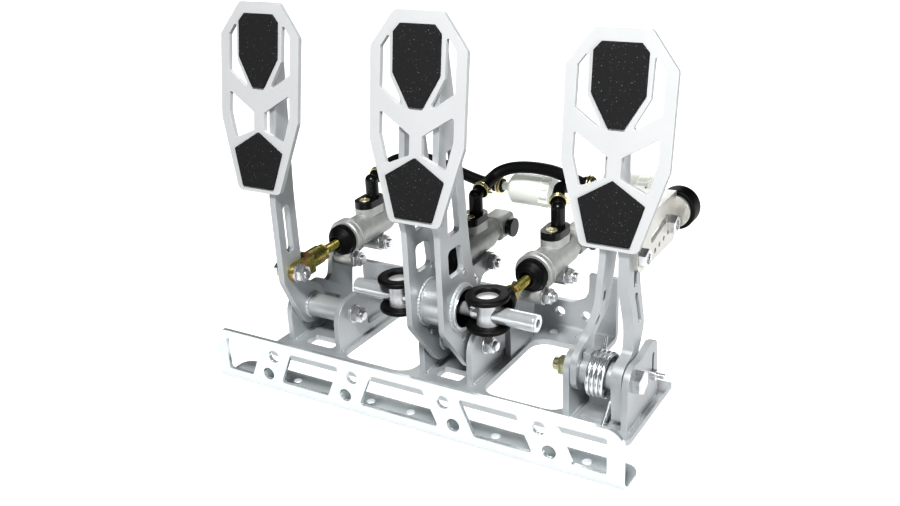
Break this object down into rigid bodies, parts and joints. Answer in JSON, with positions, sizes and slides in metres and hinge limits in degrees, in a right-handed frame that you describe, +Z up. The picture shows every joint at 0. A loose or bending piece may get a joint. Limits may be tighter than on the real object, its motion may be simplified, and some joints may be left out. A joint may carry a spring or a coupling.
{
  "type": "sim racing pedal set",
  "caption": "Floor-mounted racing pedal set: windowed clutch, brake and throttle pads on plate levers, balance bar, hydraulic cylinders, folded base and a separate heel rail.",
  "frame": {"origin": "centre of the base plate's underside", "axes": "+X to the driver's right, +Y away from the driver, +Z up"},
  "size_m": [0.3734, 0.2742, 0.2919],
  "materials": {
    "silver_paint": "satin silver-grey paint",
    "pad_paint": "satin light silver paint",
    "bright_zinc": "bright zinc",
    "zinc_fastener": "zinc plated",
    "yellow_zinc": "yellow zinc plated",
    "nickel_plate": "nickel plated",
    "cast_alloy": "cast",
    "brass_screw": "machined",
    "black_oxide": "black oxide",
    "black_plastic": "moulded",
    "black_rubber": "matt",
    "grip_sheet": "gritty",
    "milky_plastic": "translucent"
  },
  "bodies": {
    "frame": {"base_plate": "silver_paint", "heel_rail": "bright_zinc", "clutch_bracket": "silver_paint", "brake_bracket": "silver_paint", "throttle_bracket": "silver_paint", "cylinder_plates": "silver_paint", "clutch_cylinder": "cast_alloy", "brake_cylinder_left": "cast_alloy", "brake_cylinder_right": "cast_alloy", "cylinder_boots": "black_rubber", "cylinder_bolts": "zinc_fastener", "cylinder_nuts": "zinc_fastener", "port_elbows": "black_plastic", "elbow_screws": "brass_screw", "end_plugs": "black_plastic", "hose_clutch": "black_rubber", "hose_brake_left": "black_rubber", "hose_brake_right": "black_rubber", "hose_clamps": "yellow_zinc", "reservoirs": "milky_plastic", "reservoir_caps": "milky_plastic", "pivot_bolts": "zinc_fastener", "pivot_nuts": "yellow_zinc", "return_spring": "bright_zinc", "stop_screw": "zinc_fastener"},
    "clutch_pedal": {"clutch_arm": "silver_paint", "clutch_pivot_tube": "silver_paint", "clutch_pad": "pad_paint", "clutch_grips": "grip_sheet"},
    "clutch_rod": {"clutch_clevis": "yellow_zinc", "clutch_clevis_bolt": "zinc_fastener", "clutch_clevis_nut": "zinc_fastener", "clutch_pushrod": "yellow_zinc"},
    "clutch_piston": {"clutch_piston": "zinc_fastener"},
    "brake_pedal": {"brake_arm_left": "silver_paint", "brake_arm_right": "silver_paint", "brake_pivot_tube": "silver_paint", "bias_tube": "silver_paint", "brake_pad": "pad_paint", "brake_grips": "grip_sheet"},
    "bias_bearing": {"bias_bearing": "zinc_fastener"},
    "bias_bar": {"bias_bar": "bright_zinc"},
    "brake_rod_left": {"brake_clevis_left": "black_oxide", "trunnion_left": "bright_zinc", "pushrod_left": "yellow_zinc"},
    "brake_rod_right": {"brake_clevis_right": "black_oxide", "trunnion_right": "bright_zinc", "pushrod_right": "yellow_zinc"},
    "brake_piston_left": {"piston_left": "zinc_fastener"},
    "brake_piston_right": {"piston_right": "zinc_fastener"},
    "throttle_pedal": {"throttle_arm": "silver_paint", "throttle_strap": "silver_paint", "throttle_sleeve": "silver_paint", "throttle_pad": "pad_paint", "throttle_grips": "grip_sheet", "stop_bracket": "nickel_plate", "stop_bracket_bolts": "zinc_fastener", "buffer_disc": "nickel_plate", "stop_buffer": "black_rubber"}
  },
  "joints": [
    {"name": "clutch_swing", "type": "hinge", "parent": "frame", "child": "clutch_pedal", "pos_m": [-0.1262, -0.03, 0.031], "axis": [-1, 0, 0], "range_deg": [0, 16], "stiffness_Nm_per_rad": 6, "springref_deg": -8.59},
    {"name": "clutch_rod_swing", "type": "hinge", "parent": "clutch_pedal", "child": "clutch_rod", "pos_m": [-0.14495, -0.051, 0.07], "axis": [-1, 0, 0], "range_deg": [-13.4, 0]},
    {"name": "clutch_piston_slide", "type": "slide", "parent": "frame", "child": "clutch_piston", "axis": [0, 1, 0], "range_m": [0, 0.0118]},
    {"name": "brake_swing", "type": "hinge", "parent": "frame", "child": "brake_pedal", "pos_m": [0.0035, -0.03, 0.031], "axis": [-1, 0, 0], "range_deg": [0, 16], "stiffness_Nm_per_rad": 8, "springref_deg": -8.59},
    {"name": "bias_shift", "type": "slide", "parent": "brake_pedal", "child": "bias_bearing", "axis": [1, 0, 0], "range_m": [-0.003, 0.003]},
    {"name": "bias_spin", "type": "hinge", "parent": "bias_bearing", "child": "bias_bar", "pos_m": [0.0035, -0.051, 0.07], "axis": [1, 0, 0], "range_deg": [-722, 722]},
    {"name": "brake_rod_left_swing", "type": "hinge", "parent": "brake_pedal", "child": "brake_rod_left", "pos_m": [-0.0355, -0.051, 0.07], "axis": [-1, 0, 0], "range_deg": [-13.4, 0]},
    {"name": "brake_piston_left_slide", "type": "slide", "parent": "frame", "child": "brake_piston_left", "axis": [0, 1, 0], "range_m": [0, 0.0118]},
    {"name": "brake_rod_right_swing", "type": "hinge", "parent": "brake_pedal", "child": "brake_rod_right", "pos_m": [0.0425, -0.051, 0.07], "axis": [-1, 0, 0], "range_deg": [-13.4, 0]},
    {"name": "brake_piston_right_slide", "type": "slide", "parent": "frame", "child": "brake_piston_right", "axis": [0, 1, 0], "range_m": [0, 0.0118]},
    {"name": "throttle_swing", "type": "hinge", "parent": "frame", "child": "throttle_pedal", "pos_m": [0.1333, -0.05, 0.0405], "axis": [-1, 0, 0], "range_deg": [0, 20], "stiffness_Nm_per_rad": 3, "springref_deg": -17.19}
  ],
  "couplings": [
    {"joint": "clutch_rod_swing", "follows": "clutch_swing", "ratio": -0.828},
    {"joint": "clutch_piston_slide", "follows": "clutch_swing", "m_per_rad": 0.0414},
    {"joint": "bias_spin", "follows": "bias_shift", "rad_per_m": 4188.8},
    {"joint": "brake_rod_left_swing", "follows": "brake_swing", "ratio": -0.828},
    {"joint": "brake_piston_left_slide", "follows": "brake_swing", "m_per_rad": 0.0414},
    {"joint": "brake_rod_right_swing", "follows": "brake_swing", "ratio": -0.828},
    {"joint": "brake_piston_right_slide", "follows": "brake_swing", "m_per_rad": 0.0414}
  ]
}
